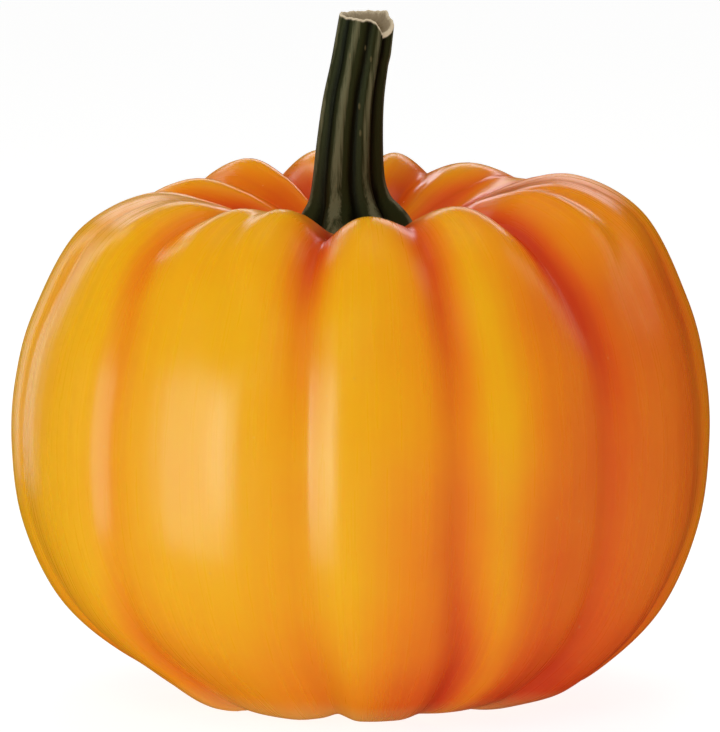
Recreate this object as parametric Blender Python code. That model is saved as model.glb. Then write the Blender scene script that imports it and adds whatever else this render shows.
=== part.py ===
# A ribbed pumpkin with its stalk, standing on its underside. Metres, +Z up, front at -Y.
import math

import bmesh
import bpy
from mathutils import Vector

RADIUS = 0.130  # half the fruit's width at its widest
GAP = 0.0004  # height of the stalk's foot above the fruit

# The fruit's two half sections, from the blossom end below to the seat of the stalk above.
# Each point is distance from the axis and height, in units of RADIUS.
CROWN = (
    (0.0, 0.045), (0.19, 0.018), (0.36, -0.005), (0.51, 0.018), (0.702, 0.126),
    (0.869, 0.290), (0.970, 0.518), (1.0, 0.755), (0.986, 0.955), (0.934, 1.147),
    (0.808, 1.384), (0.612, 1.490), (0.420, 1.467), (0.210, 1.402), (0.0, 1.370),
)
VALLEY = (
    (0.0, 0.045), (0.18, 0.035), (0.35, 0.018), (0.49, 0.046), (0.668, 0.154),
    (0.824, 0.308), (0.923, 0.525), (0.951, 0.755), (0.938, 0.942), (0.884, 1.122),
    (0.751, 1.332), (0.578, 1.410), (0.405, 1.390), (0.205, 1.352), (0.0, 1.370),
)
EQUATOR = 0.755  # height of the widest ring

# The valleys, going round from the back by the left. Each has its azimuth at the widest ring,
# its drift by the rim and by the base (all in degrees from the front, +X positive), and how
# much of the way from CROWN to VALLEY it goes down at the rim, the widest ring and the base.
VALLEYS = (
    (-155.5, -1.0, 2.0, 0.85, 1.00, 1.00),
    (-134.0, -2.0, 0.0, 0.45, 0.75, 0.80),
    (-111.0, 0.0, -2.0, 0.60, 0.90, 0.90),
    (-90.0, 0.0, 2.0, 0.50, 0.75, 0.80),
    (-74.0, 3.0, 2.0, 0.50, 0.80, 0.80),
    (-46.0, -7.0, -5.0, 0.40, 0.80, 0.80),
    (-19.3, -11.0, -0.5, 0.25, 0.45, 0.40),
    (-11.2, 3.0, 2.2, 0.95, 1.10, 1.10),
    (15.6, 1.0, 5.0, 0.70, 0.95, 0.90),
    (26.0, 2.5, 0.0, 0.30, 0.45, 0.30),
    (46.3, 1.5, 1.5, 1.05, 1.10, 1.10),
    (57.8, 7.0, 2.0, 0.35, 0.35, 0.20),
    (78.5, 6.0, -3.0, 0.50, 0.85, 0.85),
    (98.0, 3.0, -2.0, 0.60, 0.80, 0.80),
    (118.0, 0.0, 2.0, 0.70, 0.95, 0.90),
    (138.0, -3.0, 0.0, 0.60, 0.85, 0.80),
    (160.5, 0.5, -3.0, 0.65, 1.00, 0.90),
    (180.0, 0.0, 2.0, 0.70, 0.90, 0.90),
)
# The lobe after each valley: how far its crown stands out, how high its rim rises and how
# far its underside lifts, in units of RADIUS.
LOBES = (
    (0.000, 0.022, 0.000),
    (0.004, -0.004, 0.004),
    (-0.002, -0.006, 0.000),
    (0.002, -0.004, 0.006),
    (0.004, -0.004, 0.000),
    (0.000, 0.012, 0.004),
    (-0.008, 0.000, 0.004),
    (0.004, -0.013, 0.006),
    (-0.002, 0.006, 0.026),
    (-0.002, 0.002, 0.014),
    (0.000, -0.004, 0.004),
    (0.000, -0.004, 0.000),
    (0.002, -0.006, 0.000),
    (0.004, -0.030, 0.004),
    (0.004, -0.054, 0.000),
    (0.000, -0.018, 0.006),
    (0.002, 0.010, 0.000),
    (0.000, 0.028, 0.004),
)
LEAN_UP = 0.033  # the +X side is this much taller above the widest ring
LEAN_DOWN = 0.046  # and this much deeper below it
SOFT_VALLEY = 0.30  # how rounded a valley is at the widest ring
SHARP_VALLEY = 0.10  # and how rounded at the rim, where lobes press together

STEPS_PER_LOBE = 6
RINGS_PER_SPAN = 3

# The stalk's line, from inside the fruit to the cut end: x, y, height and half width,
# in units of RADIUS.
STALK_LINE = (
    (-0.012, 0.000, 1.335, 0.150),
    (-0.018, 0.000, 1.390, 0.141),
    (-0.027, 0.000, 1.445, 0.120),
    (-0.033, 0.000, 1.510, 0.103),
    (-0.030, 0.000, 1.610, 0.095),
    (-0.020, -0.002, 1.730, 0.088),
    (0.000, -0.006, 1.850, 0.082),
    (0.020, -0.012, 1.968, 0.078),
)
STALK_RIDGES = 7
RIDGE_HEIGHT = 0.13  # in units of the stalk's half width
RIDGE_STEPS = 6
STALK_TWIST = 6.0  # degrees from foot to cut end
FIRST_RIDGE = -19.5  # azimuth of one ridge, in degrees

RIND = (0.85, 0.33, 0.012)
BARK = (0.030, 0.036, 0.012)


def through(points, t):
    """A point of the smooth curve through the given points; t runs from 0 to 1."""
    spans = len(points) - 1
    first = min(int(t * spans), spans - 1)
    f = t * spans - first
    before = points[first - 1] if first else (-points[1][0], points[1][1])
    last = points[spans - 1]
    after = points[first + 2] if first + 2 <= spans else (-last[0], last[1])
    a, b, c, d = (Vector(p) for p in (before, points[first], points[first + 1], after))
    bend = (a * 2 - b * 5 + c * 4 - d) * f * f + (b * 3 - a - c * 3 + d) * f**3
    return (b * 2 + (c - a) * f + bend) / 2


def smooth(low, high, value):
    """0 below low, 1 above high, and an even slope between."""
    s = min(max((value - low) / (high - low), 0.0), 1.0)
    return s * s * (3 - 2 * s)


def swelling(u, softness):
    """How far out a lobe stands: 0 in its two valleys, u = 0 and 1, and 1 on its crown."""
    low = softness
    return (math.hypot(math.sin(math.pi * u), low) - low) / (math.hypot(1, low) - low)


def fruit_point(lobe, u, t):
    """A point of the rind: u goes across one lobe, t up a half section."""
    crown, valley = through(CROWN, t), through(VALLEY, t)
    rim = smooth(1.20, 1.45, crown.y) * smooth(0.05, 0.5, crown.x)
    base = 1 - smooth(0.05, 0.65, crown.y)
    sides = []
    for azimuth, rim_drift, base_drift, *depths in (VALLEYS[lobe], VALLEYS[(lobe + 1) % len(VALLEYS)]):
        depth = depths[0] * rim + depths[1] * (1 - rim - base) + depths[2] * base
        sides.append((azimuth + rim_drift * rim + base_drift * base, depth))
    (start, left_depth), (end, right_depth) = sides
    azimuth = math.radians(start + (end - start) % 360 * u)
    depth = left_depth + (right_depth - left_depth) * smooth(0, 1, u)
    out = swelling(u, SOFT_VALLEY + (SHARP_VALLEY - SOFT_VALLEY) * rim)
    r, z = crown + (valley - crown) * depth * (1 - out)
    stands_out, rises, lifts = LOBES[lobe]
    r *= 1 + stands_out * out
    z += out * (rises * rim + lifts * (1 - smooth(0.02, 0.20, z)) * smooth(0.15, 0.35, r))
    lean = LEAN_UP if z > EQUATOR else LEAN_DOWN
    z += lean * math.sin(azimuth) * (z - EQUATOR) * smooth(0.0, 0.10, z) * smooth(0.0, 0.5, r)
    x, y, z = r * math.sin(azimuth), -r * math.cos(azimuth), max(z, 0.0)
    return Vector((x, y, z)) * RADIUS


def material(name, color, roughness):
    made = bpy.data.materials.new(name)
    made.use_nodes = True
    made.diffuse_color = (*color, 1)
    shader = made.node_tree.nodes["Principled BSDF"]
    shader.inputs["Base Color"].default_value = (*color, 1)
    shader.inputs["Roughness"].default_value = roughness
    shader.inputs["Metallic"].default_value = 0.0
    return made


def add(mesh, name, collection):
    made = bpy.data.objects.new(name, mesh)
    collection.objects.link(made)
    return made


def rind_mesh(name, raised=0.0):
    """The fruit as a sphere whose rings and meridians are moved onto the rind."""
    segments = STEPS_PER_LOBE * len(LOBES)
    rings = RINGS_PER_SPAN * (len(CROWN) - 1)
    bm = bmesh.new()
    bmesh.ops.create_uvsphere(bm, u_segments=segments, v_segments=rings, radius=1)
    for v in bm.verts:
        t = round(math.acos(max(-1, min(1, -v.co.z))) / math.pi * rings) / rings
        turn = math.floor(math.atan2(v.co.y, v.co.x) / math.tau * segments + 0.25) % segments
        v.co = fruit_point(turn // STEPS_PER_LOBE, turn % STEPS_PER_LOBE / STEPS_PER_LOBE, t)
        v.co.z += raised
    bmesh.ops.triangulate(bm, faces=bm.faces)
    bmesh.ops.recalc_face_normals(bm, faces=bm.faces)
    mesh = bpy.data.meshes.new(name)
    bm.to_mesh(mesh)
    bm.free()
    mesh.shade_smooth()
    return mesh


def make_fruit(collection):
    fruit = add(rind_mesh("pumpkin_fruit"), "pumpkin_fruit", collection)
    fruit.data.materials.append(material("rind", RIND, 0.35))
    return fruit


def ridged_outline(collection):
    """The stalk's cross section: a closed flat curve with rounded ridges."""
    outline = bpy.data.curves.new("stalk_outline", "CURVE")
    spline = outline.splines.new("POLY")
    count = STALK_RIDGES * RIDGE_STEPS
    spline.points.add(count - 1)
    for i, point in enumerate(spline.points):
        turn = math.tau * i / count
        wave = math.cos(turn * STALK_RIDGES)
        r = 1 - RIDGE_HEIGHT / 2 * (1 - wave)
        at = turn + math.radians(FIRST_RIDGE)
        point.co = (r * math.sin(at), -r * math.cos(at), 0, 1)
    spline.use_cyclic_u = True
    return add(outline, "stalk_outline", collection)


def make_stalk(parts, cutters):
    """The stalk: the ridged outline swept along its line, then cut to sit on the fruit."""
    outline = ridged_outline(cutters)
    line = bpy.data.curves.new("stalk_line", "CURVE")
    line.dimensions = "3D"
    line.twist_mode = "MINIMUM"
    line.bevel_mode = "OBJECT"
    line.bevel_object = outline
    line.use_fill_caps = True
    line.resolution_u = 3
    spline = line.splines.new("BEZIER")
    spline.bezier_points.add(len(STALK_LINE) - 1)
    for i, (point, (x, y, z, half)) in enumerate(zip(spline.bezier_points, STALK_LINE)):
        point.co = Vector((x, y, z)) * RADIUS
        point.handle_left_type = point.handle_right_type = "AUTO"
        point.radius = half * RADIUS
        point.tilt = math.radians(STALK_TWIST) * i / (len(STALK_LINE) - 1)
    swept = add(line, "stalk_line", cutters)

    graph = bpy.context.evaluated_depsgraph_get()
    mesh = bpy.data.meshes.new_from_object(swept.evaluated_get(graph))
    bm = bmesh.new()
    bm.from_mesh(mesh)
    bmesh.ops.remove_doubles(bm, verts=bm.verts, dist=0.00001)
    bmesh.ops.recalc_face_normals(bm, faces=bm.faces)
    bm.to_mesh(mesh)
    bm.free()
    stalk = add(mesh, "stem", parts)
    stalk.matrix_world = swept.matrix_world
    for unused in (swept, outline):
        bpy.data.objects.remove(unused)

    seat = add(rind_mesh("seat_cutter", GAP), "seat_cutter", cutters)
    seat.hide_render = True
    seat.display_type = "WIRE"
    cut = stalk.modifiers.new("sit on the fruit", "BOOLEAN")
    cut.operation = "DIFFERENCE"
    cut.solver = "EXACT"
    cut.object = seat
    stalk.data.materials.clear()
    stalk.data.materials.append(material("bark", BARK, 0.6))
    stalk.data.shade_smooth()
    stalk.data.set_sharp_from_angle(angle=math.radians(50))
    return stalk


def main():
    for old in list(bpy.data.objects):
        bpy.data.objects.remove(old)
    parts = bpy.data.collections.new("pumpkin")
    cutters = bpy.data.collections.new("cutters")
    for collection in (parts, cutters):
        bpy.context.scene.collection.children.link(collection)
    make_fruit(parts)
    make_stalk(parts, cutters)


main()
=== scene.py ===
# The pumpkin's looks: a ribbed waxy rind and a dried corky stem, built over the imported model.
import math
from functools import partial

import bmesh
import bpy
import numpy as np
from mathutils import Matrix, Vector


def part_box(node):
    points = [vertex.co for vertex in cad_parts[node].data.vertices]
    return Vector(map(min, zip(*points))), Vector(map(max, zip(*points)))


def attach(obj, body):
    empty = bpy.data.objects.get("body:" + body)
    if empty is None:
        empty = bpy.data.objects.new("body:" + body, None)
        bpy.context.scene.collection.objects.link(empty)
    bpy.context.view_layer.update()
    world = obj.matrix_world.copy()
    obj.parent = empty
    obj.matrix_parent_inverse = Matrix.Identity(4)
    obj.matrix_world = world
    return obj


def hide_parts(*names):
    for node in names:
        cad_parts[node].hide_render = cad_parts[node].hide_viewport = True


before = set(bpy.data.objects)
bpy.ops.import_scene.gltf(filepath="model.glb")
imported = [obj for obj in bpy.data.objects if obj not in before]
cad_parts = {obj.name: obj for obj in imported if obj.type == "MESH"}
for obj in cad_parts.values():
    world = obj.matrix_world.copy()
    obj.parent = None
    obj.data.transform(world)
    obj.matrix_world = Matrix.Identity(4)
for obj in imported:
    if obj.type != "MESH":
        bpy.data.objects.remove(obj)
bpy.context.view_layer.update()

mm = 0.001
fruitLow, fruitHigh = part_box("pumpkin_fruit")


def linear(hexColour):
    # sRGB hex to the linear values that shaders take
    parts = [int(hexColour[i:i + 2], 16) / 255 for i in (1, 3, 5)]
    return (*[p / 12.92 if p <= 0.04045 else ((p + 0.055) / 1.055) ** 2.4 for p in parts], 1.0)


def newMaterial(name):
    made = bpy.data.materials.new(name)
    made.use_nodes = True
    tree = made.node_tree
    tree.nodes.clear()
    output = tree.nodes.new("ShaderNodeOutputMaterial")
    return made, tree, output


def addNode(tree, kind, inputs=None, stops=None, **settings):
    # one node: its settings, what its sockets hold or are linked to, and a ramp's stops; a node
    # given for a socket is linked by its first output
    node = tree.nodes.new("ShaderNode" + kind)
    for name, value in settings.items():
        setattr(node, name, value)
    for socket, value in (inputs or {}).items():
        if isinstance(value, bpy.types.Node):
            value = value.outputs[0]
        if isinstance(value, bpy.types.NodeSocket):
            tree.links.new(value, node.inputs[socket])
        else:
            node.inputs[socket].default_value = value
    if stops:
        ramp = node.color_ramp
        while len(ramp.elements) < len(stops):
            ramp.elements.new(0.5)
        for element, (position, colour) in zip(ramp.elements, stops):
            element.position = position
            element.color = linear(colour)
    return node


def smooth(low, high, value):
    s = np.clip((value - low) / (high - low), 0, 1)
    return s * s * (3 - 2 * s)


def through(points, t, before, after):
    # the smooth curve through some points, with one more point before and after them
    padded = np.array([before, *points, after], float)
    spans = len(points) - 1
    first = np.minimum((t * spans).astype(int), spans - 1)
    f = (t * spans - first)[..., None]
    a, b, c, d = (padded[first + i] for i in range(4))
    bend = (a * 2 - b * 5 + c * 4 - d) * f**2 + (b * 3 - a - c * 3 + d) * f**3
    return (b * 2 + (c - a) * f + bend) / 2


def gridMesh(name, points, values, material):
    # a mesh from rows of points that close round, with the first and last row at a single point
    rows, columns = points.shape[:2]
    index = np.arange(rows * columns).reshape(rows, columns)
    right = np.roll(index, -1, axis=1)
    faces = np.stack([index[:-1], right[:-1], right[1:], index[1:]], axis=-1).reshape(-1, 4)
    mesh = bpy.data.meshes.new(name)
    mesh.from_pydata(points.reshape(-1, 3).tolist(), [], faces.tolist())
    for label, value in values.items():
        layer = mesh.attributes.new(label, "FLOAT", "POINT")
        layer.data.foreach_set("value", value.astype(np.float32).ravel())
    clean = bmesh.new()
    clean.from_mesh(mesh)
    bmesh.ops.remove_doubles(clean, verts=clean.verts, dist=1e-7)
    clean.to_mesh(mesh)
    clean.free()
    mesh.shade_smooth()
    mesh.materials.append(material)
    made = bpy.data.objects.new(name, mesh)
    bpy.context.scene.collection.objects.link(made)
    return made


# lengths are in half widths of the fruit, angles in degrees from the front, +X positive
fruit = {
    "stepsPerLobe": 24,
    "rings": 200,
    # half sections over a lobe's crown and down its valley, from the blossom end to the stem
    "crown": ((0, 0.045), (0.19, 0.018), (0.36, -0.005), (0.51, 0.018), (0.702, 0.126),
              (0.869, 0.29), (0.97, 0.518), (1, 0.755), (0.986, 0.955), (0.934, 1.147),
              (0.808, 1.384), (0.612, 1.49), (0.42, 1.46), (0.21, 1.368), (0, 1.34)),
    "valley": ((0, 0.045), (0.18, 0.035), (0.35, 0.018), (0.49, 0.046), (0.668, 0.154),
               (0.824, 0.308), (0.923, 0.525), (0.951, 0.755), (0.938, 0.942), (0.884, 1.122),
               (0.751, 1.332), (0.578, 1.41), (0.405, 1.385), (0.205, 1.338), (0, 1.34)),
    "equator": 0.755,
    "leanUp": 0.033,  # the +X side is this much taller above the equator
    "leanDown": 0.046,  # and this much deeper below it
    "edgeSoftness": 0.045,  # how rounded the lobes' edges are, in lobes
    "rimSoftness": 0.1,  # how rounded the valleys are at the rim, where the lobes press together
    "grooveHalfWidth": 0.06,
    # where one stretch of the rind passes into the next, as heights or ways out from the axis
    "rimHeights": (1.2, 1.45),
    "rimWaysOut": (0.02, 0.28),
    "baseHeights": (0.05, 0.65),
    "driftHeights": (1.0, 1.4),
    "liftHeights": (0.02, 0.2),
    "liftWaysOut": (0.15, 0.35),
    "foldHeights": (0.95, 1.4),
    "foldWaysOut": (0.3, 0.55),
    "hollowHeights": (1.2, 1.3),
    "hollowWaysOut": (0.62, 0.4),
}
# what makes the rind redder, where 0 is golden and 1 is red orange; part of it is the rind's own tone
# and part is painted shade
toneAndPaintedShade = {
    "softness": 0.05,  # how far the lobes' own redness is blurred, in lobes
    "rimPaler": 0.55,
    "base": 0.45,
    "rim": 0.08,
    # redder down the valleys: partly the rind's own tone, partly painted shade in the creases
    "rimGroove": 0.75,
    "shoulderGroove": 0.5,
    # painted shade: redder and darker in the hollow round the stem
    "paintedShadeNearStem": 0.4,
    # painted shade: redder and darker low on the front right, away from the light
    "paintedShadeLowRight": 0.3,
}
# one row for each lobe and the valley on its left, going round from the back by the left:
# valley azimuth, its drift at the rim and at the base, its depth at rim, middle and base,
# how far the lobe stands out, how high its rim rises and how far its underside lifts,
# how red its valley is, then the soft edges across it, each as how far across, how far out
# and how red (0 is golden, 1 red orange)
# the redness here is partly the rind's own tone and partly painted shade: redder down the valleys, on
# the front lobes' right flanks and all over the +X side, away from the light
evenEdges = ((0.22, 0.7, 0.25), (0.5, 1, 0.1), (0.78, 0.7, 0.3))
lobes = (
    (-155.5, -1, 2, 0.85, 0.95, 0.95, 0, 0.022, 0, 0.6, evenEdges),
    (-134, -2, 0, 0.5, 0.7, 0.75, -0.035, -0.01, 0.004, 0.5,
     ((0.2, 0.75, 0.3), (0.4, 1, 0.1), (0.75, 0.75, 0.3))),
    (-111, 0, -2, 1.1, 0.85, 0.85, -0.002, -0.022, 0, 0.4,
     ((0.25, 0.7, 0.2), (0.6, 1, 0), (0.82, 0.7, 0.25))),
    (-90, 0, 2, 0.2, 0.3, 0.5, 0.002, -0.004, 0.006, 0.12,
     ((0.22, 0.7, 0.05), (0.5, 1, 0), (0.78, 0.7, 0.1))),
    (-74, 3, 2, 0.12, 0.22, 0.55, 0.004, -0.004, 0, 0.12,
     ((0.3, 0.75, 0.05), (0.6, 1, 0), (0.84, 0.9, 0))),
    (-45, -3, -6, 0.6, 0.5, 0.8, -0.002, 0.008, 0.004, 0.4,
     ((0.1, 0.4, 0.15), (0.3, 0.75, 0.03), (0.5, 0.92, 0), (0.69, 1, 0), (0.78, 0.8, 0.1),
      (0.9, 0.62, 0.16))),
    (-9.6, -1, 0.6, 1.3, 0.85, 1.1, 0.004, -0.036, 0.006, 0.3,
     ((0.12, 0.44, 0.05), (0.25, 0.96, 0), (0.5, 1, 0.12), (0.8, 0.88, 0.3), (0.9, 0.5, 0.5))),
    (15.9, -1, 5, 0.95, 0.75, 0.9, -0.002, -0.026, 0.022, 0.7,
     ((0.13, 0.5, 0.25), (0.26, 0.95, -0.1), (0.38, 1, 0.3), (0.56, 0.92, 0.65), (0.8, 0.55, 0.8))),
    (46.3, -4.5, 1.5, 1.15, 0.85, 1.1, 0.002, -0.004, 0.002, 1,
     ((0.15, 0.6, 0.85), (0.35, 0.95, 0.8), (0.5, 1, 0.82), (0.75, 0.8, 0.9))),
    (78.5, 4, -3, 0.15, 0.32, 0.85, 0.002, -0.006, 0, 0.8,
     ((0.22, 0.7, 0.6), (0.5, 1, 0.5), (0.78, 0.7, 0.55))),
    (98, 3, -2, 0.6, 0.75, 0.8, 0.004, -0.03, 0.004, 0.9,
     ((0.25, 0.8, 0.6), (0.45, 1, 0.5), (0.8, 0.65, 0.6))),
    (118, 0, 2, 0.7, 0.9, 0.9, 0.004, -0.054, 0, 0.8,
     ((0.22, 0.7, 0.45), (0.5, 1, 0.3), (0.78, 0.7, 0.4))),
    (138, -3, 0, 0.6, 0.8, 0.8, 0, -0.018, 0.006, 0.6,
     ((0.2, 0.65, 0.3), (0.55, 1, 0.2), (0.8, 0.8, 0.3))),
    (160.5, 0.5, -3, 0.65, 0.95, 0.9, 0.002, 0.01, 0, 0.6, evenEdges),
    (180, 0, 2, 0.7, 0.85, 0.9, 0, 0.028, 0.004, 0.6,
     ((0.2, 0.8, 0.3), (0.4, 1, 0.1), (0.78, 0.7, 0.3))),
)
# folds between the valleys: azimuth, drift at the rim, half width, depth at rim, middle, base
folds = (
    (-23, -7, 5, 0.034, 0, 0),
    (57.8, 7, 5, 0.024, 0.003, 0),
    (-34, 0, 3.5, 0, -0.002, 0),
)


def roundTheFruit(places, column, softness):
    # what the lobes' edges say, how far out (1) or how red (2), all round the fruit; edges
    # and valleys are blurred over this share of a lobe
    known = [(i + edge[0], edge[column])
             for i, row in enumerate(lobes) for edge in ((0, 0, row[9]), *row[10])]
    count = 4096
    spots = np.arange(count) * len(lobes) / count
    sharp = np.interp(spots, *zip(*known), period=len(lobes))
    waves = np.fft.rfftfreq(count, len(lobes) / count)
    soft = np.fft.irfft(np.fft.rfft(sharp) * np.exp(-2 * (np.pi * waves * softness) ** 2), count)
    return np.interp(places, spots, soft, period=len(lobes))


def roundProfile(u, softness):
    return (np.hypot(np.sin(np.pi * u), softness) - softness) / (np.hypot(1, softness) - softness)


def fruitPoints(t, lobe, u):
    # rows up the half section t, columns round; gives points and what the rind is like at each
    crown, valley = (through(half, t, (-half[1][0], half[1][1]), (-half[-2][0], half[-2][1]))
                     for half in (fruit["crown"], fruit["valley"]))
    rim = smooth(*fruit["rimHeights"], crown[..., 1]) * smooth(*fruit["rimWaysOut"], crown[..., 0])
    base = 1 - smooth(*fruit["baseHeights"], crown[..., 1])
    middle = 1 - rim - base
    drifting = smooth(*fruit["driftHeights"], crown[..., 1])
    table = np.array([row[:9] for row in lobes], float)
    here, after = np.moveaxis(table[lobe], -1, 0), np.moveaxis(table[(lobe + 1) % len(table)], -1, 0)
    (start, leftDepth), (end, rightDepth) = (
        (row[0] + row[1] * drifting + row[2] * base, row[3] * rim + row[4] * middle + row[5] * base)
        for row in (here, after))
    azimuth = np.radians(start + (end - start) % 360 * u)
    depth = leftDepth + (rightDepth - leftDepth) * smooth(0, 1, u)
    out = roundTheFruit(lobe + u, 1, fruit["edgeSoftness"]) * (1 - rim)
    out += roundProfile(u, fruit["rimSoftness"]) * rim
    r, z = np.moveaxis(crown + (valley - crown) * (depth * (1 - out))[..., None], -1, 0)
    standsOut, rimRise, undersideLift = here[6:9]
    r = r * (1 + standsOut * out)
    underside = (1 - smooth(*fruit["liftHeights"], z)) * smooth(*fruit["liftWaysOut"], r)
    z = z + out * (rimRise * rim + undersideLift * underside)
    upper = smooth(*fruit["foldHeights"], z) * smooth(*fruit["foldWaysOut"], r)
    for place, drift, width, *depths in folds:
        off = (np.degrees(azimuth) - place - drift * rim + 180) % 360 - 180
        down = depths[0] * upper + depths[1] * middle * (1 - upper) + depths[2] * base
        fold = down * np.exp(-(off / width) ** 2)
        r, z = r - fold * (1 - 0.7 * rim), z - fold * rim
    lean = np.where(z > fruit["equator"], fruit["leanUp"], fruit["leanDown"])
    z = z + lean * np.sin(azimuth) * (z - fruit["equator"]) * smooth(0, 0.1, z) * smooth(0, 0.5, r)
    points = np.stack([r * np.sin(azimuth), -r * np.cos(azimuth), np.maximum(z, 0)], axis=-1)
    fromValley = np.minimum(u, 1 - u) * ((end - start) % 360) * np.pi / 180 * r
    groove = depth * np.exp(-(fromValley / fruit["grooveHalfWidth"]) ** 2)
    # the lobes' redness, which holds painted shade on the front lobes' right flanks and on the +X side
    redness = roundTheFruit(lobe + u, 2, toneAndPaintedShade["softness"]) * (1 - toneAndPaintedShade["rimPaler"] * rim)
    # redder towards the blossom end, and down the valleys: partly the rind's own tone, partly painted
    # shade in the creases
    redness += toneAndPaintedShade["base"] * base**2 + (toneAndPaintedShade["rim"] + toneAndPaintedShade["rimGroove"] * groove) * rim
    redness += toneAndPaintedShade["shoulderGroove"] * groove * smooth(0.8, 1.35, z) * (1 - rim)
    # painted shade: redder and darker in the hollow round the stem
    redness += toneAndPaintedShade["paintedShadeNearStem"] * smooth(0.6, 0.3, r) * rim
    # painted shade: redder and darker low on the front right, away from the light
    side = np.sin(azimuth)
    right = smooth(-0.05, 0.18, side) * (1 - smooth(0.5, 0.7, side))
    redness += toneAndPaintedShade["paintedShadeLowRight"] * smooth(1.0, 0.5, z) * right
    hollow = smooth(*fruit["hollowWaysOut"], r) * smooth(*fruit["hollowHeights"], z)
    return points, {"redness": redness, "along": t, "hollow": hollow}


def makeFruit():
    steps = fruit["stepsPerLobe"]
    t = np.linspace(0, 1, fruit["rings"] + 1)[:, None]
    column = np.arange(steps * len(lobes))
    lobe, even = column // steps, column % steps / steps
    u = even - 0.4 * np.sin(math.tau * even) / math.tau  # closer together in the valleys
    t, lobe, u = np.broadcast_arrays(t, lobe[None], u[None])
    points, values = fruitPoints(t, lobe, u)
    halfWidth = (fruitHigh.x - fruitLow.x) / np.ptp(points[..., 0])
    points = points * halfWidth
    made = gridMesh("pumpkinRind", points, values, waxyRind(halfWidth))
    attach(made, "root")
    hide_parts("pumpkin_fruit")
    return halfWidth


# ripe pumpkin rind: a hard skin under a thin natural wax, satin, with light scattered just below
rind = {
    "golden": "#eead06",
    "orange": "#eb880a",
    "redOrange": "#dd5a10",
    "deepRed": "#cc3c10",
    "fleck": "#e2a95c",
    "underside": "#d9a860",  # bleached where it lay on the ground
    "scar": "#8f6a3c",  # cork where the blossom dropped off
    "roughness": 0.28,
    "ior": 1.45,  # plant wax
    "specular": 0.4,
    "scatterDepth": 4 * mm,
    "scatter": 0.3,
    "scatterReach": (1, 0.35, 0.1),  # red light goes furthest under the skin
    "halfGirth": 3.2,  # from the blossom end over the side to the stem, in half widths
    "streakWidth": 2.2 * mm,
    "streakLength": 70 * mm,
    "streakTint": 0.16,  # how far the streaks shift the colour
    "ribWidth": 12 * mm,
    "mottleSize": 25 * mm,
    "mottleTint": 0.2,
    "poreSize": 1.1 * mm,  # drawn about three times too coarse, or the pores would not show
    "fleckSpacing": 9 * mm,
    "fleckShare": 0.4,
    "fleckStrength": 0.25,
    "scarRadius": 5 * mm,
    "scarRagged": 3 * mm,
    "undersideHeight": 30 * mm,
    "lainFull": 5 * mm,  # the pale patch is whole below this height and gone above the next
    "lainHeight": 16 * mm,
    "lainUneven": 8 * mm,
    "lainStrength": 0.5,
    "reliefDepth": 0.08 * mm,
    "reliefStrength": 0.35,
}


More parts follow.
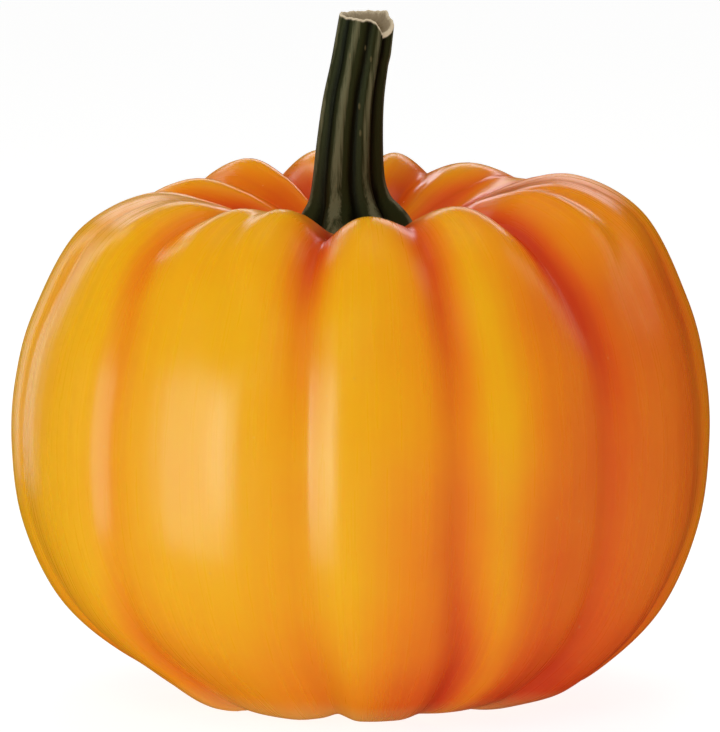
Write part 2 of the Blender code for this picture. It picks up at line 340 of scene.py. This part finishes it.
def waxyRind(halfWidth):
    made, tree, output = newMaterial("waxyPumpkinRind")
    add = partial(addNode, tree)
    redness, along, hollow = (add("Attribute", attribute_name=name).outputs["Fac"]
                              for name in ("redness", "along", "hollow"))
    place = add("TexCoord").outputs["Object"]
    # streaks and ribs run from end to end, so their places are the way out from the axis and
    # the way up the rind
    flat = add("VectorMath", {0: place, 1: (1, 1, 0)}, operation="MULTIPLY")
    outward = add("VectorMath", {0: flat}, operation="NORMALIZE")
    around = halfWidth / rind["streakWidth"]
    outward = add("VectorMath", {0: outward, 1: (around, around, 0)}, operation="MULTIPLY")
    upward = add("CombineXYZ", {"Z": along})
    long = rind["halfGirth"] * halfWidth / rind["streakLength"]
    meridian = add("VectorMath", {0: upward, 1: (0, 0, long), 2: outward}, operation="MULTIPLY_ADD")
    streak = add("TexNoise", {"Vector": meridian, "Scale": 1.0, "Detail": 3.0})
    wide = rind["streakWidth"] / rind["ribWidth"]
    ribs = add("TexNoise", {"Vector": meridian, "Scale": wide, "Detail": 1.0})
    mottle = add("TexNoise", {"Vector": place, "Scale": 1 / rind["mottleSize"], "Detail": 3.0})
    pores = add("TexNoise", {"Vector": place, "Scale": 1 / rind["poreSize"], "Detail": 2.0})
    cells = add("TexVoronoi", {"Vector": place, "Scale": 1 / rind["fleckSpacing"]})
    chance = add("SeparateColor", {0: cells.outputs["Color"]})
    kept = add("Math", {0: chance, 1: 1 - rind["fleckShare"]}, operation="GREATER_THAN")
    fleck = add("MapRange", {0: cells.outputs["Distance"], 1: 0.03, 2: 0.075, 3: kept, 4: 0.0})

    # golden to deep red by how red the shape says, which is partly painted shade, a little more or less
    # in streaks and patches;
    # both noises add half their range on average, which the map's first number takes off
    streaked = add("Math", {0: streak, 1: rind["streakTint"], 2: redness}, operation="MULTIPLY_ADD")
    varied = add("Math", {0: mottle, 1: rind["mottleTint"], 2: streaked}, operation="MULTIPLY_ADD")
    scaled = add("MapRange", {0: varied, 1: 0.18, 2: 1.48})
    colour = add("ValToRGB", {0: scaled}, stops=((0, rind["golden"]), (0.385, rind["orange"]),
                                                 (0.77, rind["redOrange"]), (1, rind["deepRed"])))
    faint = add("Math", {0: fleck, 1: rind["fleckStrength"]}, operation="MULTIPLY")
    colour = add("Mix", {0: faint, 6: colour, 7: linear(rind["fleck"])}, data_type="RGBA").outputs[2]

    # underneath it is paler where it lay, with a corky scar left by the blossom
    height = add("SeparateXYZ", {0: place}).outputs[2]
    uneven = add("Math", {0: mottle, 1: rind["lainUneven"], 2: height}, operation="MULTIPLY_ADD")
    lain = add("MapRange", {0: uneven, 1: rind["lainFull"], 2: rind["lainHeight"],
                            3: rind["lainStrength"], 4: 0.0})
    colour = add("Mix", {0: lain, 6: colour, 7: linear(rind["underside"])}, data_type="RGBA").outputs[2]
    under = add("Math", {0: height, 1: rind["undersideHeight"]}, operation="LESS_THAN")
    fromAxis = add("VectorMath", {0: flat}, operation="LENGTH").outputs["Value"]
    ragged = add("Math", {0: pores, 1: rind["scarRagged"], 2: fromAxis}, operation="MULTIPLY_ADD")
    scarEdge = rind["scarRadius"] + rind["scarRagged"]
    scar = add("MapRange", {0: ragged, 1: rind["scarRadius"], 2: scarEdge, 3: under, 4: 0.0})
    colour = add("Mix", {0: scar, 6: colour, 7: linear(rind["scar"])}, data_type="RGBA").outputs[2]

    # cork is duller than wax, and the sheltered hollow round the stem a little glossier
    roughness = add("Math", {0: streak, 1: 0.08, 2: rind["roughness"] - 0.04}, operation="MULTIPLY_ADD")
    for pattern, duller in ((fleck, 0.2), (scar, 0.4), (hollow, -0.08)):
        roughness = add("Math", {0: pattern, 1: duller, 2: roughness}, operation="MULTIPLY_ADD")
    relief = 0.0
    for pattern, share in ((streak, 0.5), (pores, 0.35), (fleck, 0.2), (ribs, 20.0)):
        relief = add("Math", {0: pattern, 1: share, 2: relief}, operation="MULTIPLY_ADD")
    normal = add("Bump", {"Height": relief, "Strength": rind["reliefStrength"],
                          "Distance": rind["reliefDepth"]})
    shader = add("BsdfPrincipled", {
        "Base Color": colour, "Roughness": roughness, "IOR": rind["ior"],
        "Specular IOR Level": rind["specular"], "Normal": normal,
        "Subsurface Weight": rind["scatter"], "Subsurface Radius": rind["scatterReach"],
        "Subsurface Scale": rind["scatterDepth"],
    })
    tree.links.new(shader.outputs[0], output.inputs[0])
    return made


stem = {
    # from inside the fruit to above the cut: x, y, height and half width, in half widths of the fruit
    "line": ((-0.015, -0.012, 1.31, 0.185), (-0.018, -0.008, 1.36, 0.166),
             (-0.021, -0.003, 1.4, 0.146), (-0.027, 0, 1.44, 0.121), (-0.033, 0, 1.5, 0.105),
             (-0.03, 0, 1.61, 0.096), (-0.02, -0.002, 1.73, 0.089), (0, -0.006, 1.85, 0.0835),
             (0.02, -0.012, 1.99, 0.0785)),
    # azimuth and depth of the grooves between the ridges
    "grooves": ((-148, 0.9), (-97, 0.8), (-46, 1), (8, 1), (54, 1.5), (108, 0.9), (160, 0.8)),
    "grooveDepth": 0.16,
    "grooveSoftness": 0.25,
    "footHeights": (1.48, 1.38),
    "ribsPerRidge": 4,  # fine ribs along each ridge
    "ribDepth": 0.01,
    # a toe over the rind on the right, and bark that peeled at the cut: azimuth and half width
    # in degrees, how far it swells, and the heights from none to all of it
    "swellings": ((85, 26, 0.008, 1.45, 1.425), (75, 25, 0.004, 1.82, 1.86)),
    "twist": 9,  # degrees over one half width of height
    # height of the ragged cut round the rim
    "cut": ((-180, 1.971), (-120, 1.971), (-90, 1.974), (-45, 1.964), (0, 1.96), (18, 1.957),
            (33, 1.935), (44, 1.905), (60, 1.905), (90, 1.95), (125, 1.974)),
    "cutBlur": 28,
    # small waves on the cut: how many round the rim, how high, and their phase
    "cutWaves": ((9, 0.0012, 0), (17, 0.0009, 1), (31, 0.0006, 2)),
    # over the cut from its rim to the pith: how far in, how far up
    "cutSection": ((0.985, 0.0025), (0.955, 0.004), (0.91, 0.003), (0.85, -0.003), (0.78, -0.012),
                   (0.66, -0.02), (0.5, -0.025), (0.3, -0.03), (0.12, -0.034), (0, -0.035)),
    "columns": 280,
    "rings": 150,
}


def makeStem(halfWidth):
    line = np.array(stem["line"])
    dense = through(line, np.linspace(0, 1, 400), line[0] * 2 - line[1], line[-1] * 2 - line[-2])
    azimuth = np.linspace(-180, 180, stem["columns"], endpoint=False)
    turn = np.radians(azimuth)
    # the ragged cut: its table of heights, blurred, then the small waves
    cut = np.interp(azimuth, *zip(*stem["cut"]), period=360)
    blur = np.exp(-(np.fft.fftfreq(len(cut)) * stem["cutBlur"]) ** 2)
    cut = np.real(np.fft.ifft(np.fft.fft(cut) * blur))
    for waves, high, phase in stem["cutWaves"]:
        cut += high * np.sin(waves * turn + phase)
    share = np.append(np.linspace(0, 0.97, stem["rings"]), np.linspace(0.97, 1, 8)[1:])[:, None]
    height = line[0, 2] + (cut - line[0, 2]) * share

    grooves, depths = np.array(stem["grooves"]).T
    count = len(grooves)
    way = np.interp((azimuth - grooves[0]) % 360, [*(grooves - grooves[0]), 360], range(count + 1))
    across, left = way % 1, way.astype(int) % count
    rounded = roundProfile(across, stem["grooveSoftness"])
    depth = depths[left] * (1 - across) + depths[(left + 1) % count] * across
    x, y, half = (np.interp(height, dense[:, 2], dense[:, k]) for k in (0, 1, 3))
    foot = smooth(*stem["footHeights"], height)
    deeper = stem["grooveDepth"] * depth * (0.75 + 0.25 * smooth(1.9, 1.8, height) + 0.5 * foot)
    ribs = stem["ribDepth"] * np.cos(math.tau * stem["ribsPerRidge"] * way + 3 * height) * rounded
    half = half * (1 - deeper * (1 - rounded) + ribs + 0.04 * foot * rounded)
    for place, width, swell, none, whole in stem["swellings"]:
        half += swell * smooth(none, whole, height) * np.exp(-((azimuth - place) / width) ** 2)
    at = turn + np.radians(stem["twist"]) * (height - 1.7)
    sides = np.stack([x + half * np.sin(at), y - half * np.cos(at), height], axis=-1)

    bottom = np.array([x[0].mean(), y[0].mean(), line[0, 2]])
    under = [bottom + (sides[0] - bottom) * inward for inward in (0, 0.4, 0.75)]
    pith = np.array([x[-1].mean(), y[-1].mean(), cut.mean()])
    over = [pith + (sides[-1] - pith) * (inward, inward, inward**2) + (0, 0, up)
            for inward, up in stem["cutSection"]]
    points = np.concatenate([under, sides, over]) * halfWidth
    first, last = len(under), len(under) + len(sides)
    onCut, inside = np.zeros((2, *points.shape[:2]))
    onCut[first:last] = smooth(0.994, 1, share)
    onCut[last:] = 1
    inside[last:] = [[1 - inward] for inward, up in stem["cutSection"]]
    ridge = np.broadcast_to(rounded, onCut.shape)
    values = {"ridge": ridge, "cut": onCut, "inside": inside}
    made = gridMesh("pumpkinStem", points, values, driedStem())
    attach(made, "root")
    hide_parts("stem")


# dried pumpkin stem: corky ribbed bark, nearly black green, over pale wood with a brown pith
bark = {
    # the groove colour is painted shade and the ridge colour a painted highlight; the face is the
    # bark's own nearly black green
    "groove": "#080d03",
    "face": "#24290f",
    "ridge": "#5d5b40",
    "cork": "#7a6c48",
    "rim": "#cbbb9e",
    "wood": "#97876c",
    "pith": "#6b5a40",
    "roughness": 0.6,
    "ior": 1.45,  # dry plant fibre
    "specular": 0.25,
    "mirrorTone": "#ffe6c0",  # the warm tone of what the dry skin mirrors
    "fibreWidth": 0.5 * mm,
    "fibreLength": 14 * mm,
    "patchWidth": 3 * mm,
    "grainSize": 0.8 * mm,
    "lenticelSpacing": 5 * mm,  # the small corky breathing spots
    "lenticelStrength": 0.35,
    "fibreTint": 0.3,  # how far each pattern lightens the skin
    "paintedRidgeHighlight": 0.98,
    "patchTint": 0.6,
    "darkness": 0.45,  # taken off again, so that only crests are light
    "reliefDepth": 0.25 * mm,
    "reliefStrength": 0.6,
}


def driedStem():
    made, tree, output = newMaterial("driedStemBark")
    add = partial(addNode, tree)
    ridge, cut, inside = (add("Attribute", attribute_name=name).outputs["Fac"]
                          for name in ("ridge", "cut", "inside"))
    place = add("TexCoord").outputs["Object"]
    stretched = bark["fibreWidth"] / bark["fibreLength"]
    long = add("VectorMath", {0: place, 1: (1, 1, stretched)}, operation="MULTIPLY")
    fibres = add("TexNoise", {"Vector": long, "Scale": 1 / bark["fibreWidth"], "Detail": 3.0})
    patches = add("TexNoise", {"Vector": long, "Scale": 1 / bark["patchWidth"], "Detail": 4.0})
    grain = add("TexNoise", {"Vector": place, "Scale": 1 / bark["grainSize"], "Detail": 3.0})
    tall = add("VectorMath", {0: place, 1: (1, 1, 0.4)}, operation="MULTIPLY")
    cells = add("TexVoronoi", {"Vector": tall, "Scale": 1 / bark["lenticelSpacing"]})
    lenticel = add("MapRange", {0: cells.outputs["Distance"], 1: 0.06, 2: 0.12, 3: 1.0, 4: 0.0})

    # painted shade, nearly black, down the grooves and a painted highlight, olive grey, along the
    # ridges' crests
    varied = -bark["darkness"]
    for pattern, share in ((fibres, bark["fibreTint"]), (ridge, bark["paintedRidgeHighlight"]),
                           (patches, bark["patchTint"])):
        varied = add("Math", {0: pattern, 1: share, 2: varied}, operation="MULTIPLY_ADD")
    tone = add("ValToRGB", {0: varied}, stops=((0.1, bark["groove"]), (0.5, bark["face"]),
                                               (0.82, bark["face"]), (1, bark["ridge"])))
    faint = add("Math", {0: lenticel, 1: bark["lenticelStrength"]}, operation="MULTIPLY")
    tone = add("Mix", {0: faint, 6: tone, 7: linear(bark["cork"])}, data_type="RGBA").outputs[2]
    ringed = add("Math", {0: grain, 1: 0.16, 2: inside}, operation="MULTIPLY_ADD")
    ended = add("ValToRGB", {0: ringed}, stops=((0.08, bark["rim"]), (0.14, bark["rim"]),
                                                (0.24, bark["wood"]), (0.53, bark["pith"])))
    colour = add("Mix", {0: cut, 6: tone, 7: ended}, data_type="RGBA").outputs[2]

    relief = 0.0
    for pattern, share in ((fibres, 1.0), (grain, 0.5), (lenticel, 0.6)):
        relief = add("Math", {0: pattern, 1: share, 2: relief}, operation="MULTIPLY_ADD")
    normal = add("Bump", {"Height": relief, "Strength": bark["reliefStrength"],
                          "Distance": bark["reliefDepth"]})
    roughness = add("Math", {0: grain, 1: 0.2, 2: bark["roughness"] - 0.1}, operation="MULTIPLY_ADD")
    shader = add("BsdfPrincipled", {
        "Base Color": colour, "Roughness": roughness, "IOR": bark["ior"],
        "Specular IOR Level": bark["specular"], "Specular Tint": linear(bark["mirrorTone"]),
        "Normal": normal,
    })
    tree.links.new(shader.outputs[0], output.inputs[0])
    return made


studio = {
    "floorRadius": 20.0,
    "floorDrop": 0.2 * mm,  # under the fruit's flat spot, so that the two don't flicker
    "floorColour": "#8e8e8c",
    "worldColour": "#ffffff",
    "worldStrength": 0.48,
    "floorGlow": 0.86,  # lifts the floor to a clean white without a brighter sky
    "cameraElevation": 8.0,
    # in half widths of the fruit
    "cameraDistance": 24.0,
    "aimHeight": 0.755,
    "raise": 0.202,
    # in mm
    "lens": 411.9,
    "sensor": 36,
}
# each soft light: azimuth, elevation, distance, width and height in metres, watts, colour, and
# whether it lights the pumpkin or is only mirrored in its wax
lights = {
    "keySoftbox": (-14, 34, 1.6, 0.9, 0.9, 8, "#ffffff", "lights"),
    "rightFill": (95, 12, 1.6, 0.6, 0.9, 1.3, "#fff2e0", "lights"),
    "leftFill": (-100, 0, 1.6, 0.6, 0.9, 3.2, "#ffffff", "lights"),
    "leftStrip": (-66, -5, 1.6, 0.3, 1.3, 4.2, "#cceef4", "mirrored"),
    "rightStrip": (-46, 1, 1.6, 0.26, 1.1, 3.9, "#c8f0f4", "mirrored"),
    "brightStrip": (-42, 0, 1.6, 0.1, 0.8, 2.2, "#c0f4ff", "mirrored"),
    "longStrip": (-52, -3, 1.6, 0.6, 1.8, 8.5, "#d2f0f0", "mirrored"),
    "backLeftStrip": (-143, 14, 1.5, 0.14, 1.4, 1.4, "#ffffff", "mirrored"),
    "backRightStrip": (117, 33, 1.6, 0.5, 1.0, 1.2, "#fff4e8", "mirrored"),
    "rimSoftbox": (180, 24, 1.5, 1.2, 0.16, 2.2, "#f6f2ff", "mirrored"),
    "topSoftbox": (180, 68, 1.5, 0.9, 0.9, 7, "#ffffff", "lights"),
}


def makeStudio(halfWidth):
    bpy.ops.mesh.primitive_circle_add(vertices=128, radius=studio["floorRadius"], fill_type="NGON",
                                      location=(0, 0, -studio["floorDrop"]))
    floor = bpy.context.object
    floor.name = "studioFloor"
    made, tree, output = newMaterial("paleFloor")
    shader = addNode(tree, "BsdfPrincipled", {
        "Base Color": linear(studio["floorColour"]), "Roughness": 0.8,
        "Emission Color": (1, 1, 1, 1), "Emission Strength": studio["floorGlow"],
    })
    tree.links.new(shader.outputs[0], output.inputs[0])
    floor.data.materials.append(made)
    floor.visible_glossy = floor.visible_shadow = False  # the rind mirrors only the soft lights

    world = bpy.data.worlds.new("studioWorld")
    world.use_nodes = True
    background = world.node_tree.nodes["Background"]
    background.inputs["Color"].default_value = linear(studio["worldColour"])
    background.inputs["Strength"].default_value = studio["worldStrength"]
    world.cycles_visibility.glossy = False
    bpy.context.scene.world = world

    aim = Vector((0, 0, studio["aimHeight"] * halfWidth))
    for name, (azimuth, elevation, distance, width, height, watts, colour, use) in lights.items():
        data = bpy.data.lights.new(name, "AREA")
        data.shape = "RECTANGLE"
        data.size, data.size_y = width, height
        data.energy = watts
        data.color = linear(colour)[:3]
        light = bpy.data.objects.new(name, data)
        bpy.context.scene.collection.objects.link(light)
        a, e = math.radians(azimuth), math.radians(elevation)
        back = Vector((math.sin(a) * math.cos(e), -math.cos(a) * math.cos(e), math.sin(e)))
        light.location = aim + back * distance
        light.rotation_euler = back.to_track_quat("Z", "Y").to_euler()
        light.visible_camera = False
        light.visible_diffuse, light.visible_glossy = use == "lights", use == "mirrored"

    e = math.radians(studio["cameraElevation"])
    back, up = Vector((0, -math.cos(e), math.sin(e))), Vector((0, math.sin(e), math.cos(e)))
    data = bpy.data.cameras.new("studioCamera")
    data.sensor_width = studio["sensor"]
    data.lens = studio["lens"]
    data.clip_start, data.clip_end = 0.1, 100
    camera = bpy.data.objects.new("studioCamera", data)
    bpy.context.scene.collection.objects.link(camera)
    camera.location = aim + (up * studio["raise"] + back * studio["cameraDistance"]) * halfWidth
    camera.rotation_euler = back.to_track_quat("Z", "Y").to_euler()
    bpy.context.scene.camera = camera
    bpy.context.scene.view_settings.view_transform = "Standard"


halfWidth = makeFruit()
print("fruit made, half width", round(halfWidth, 4))
makeStem(halfWidth)
print("stem made")
makeStudio(halfWidth)
print("studio made")
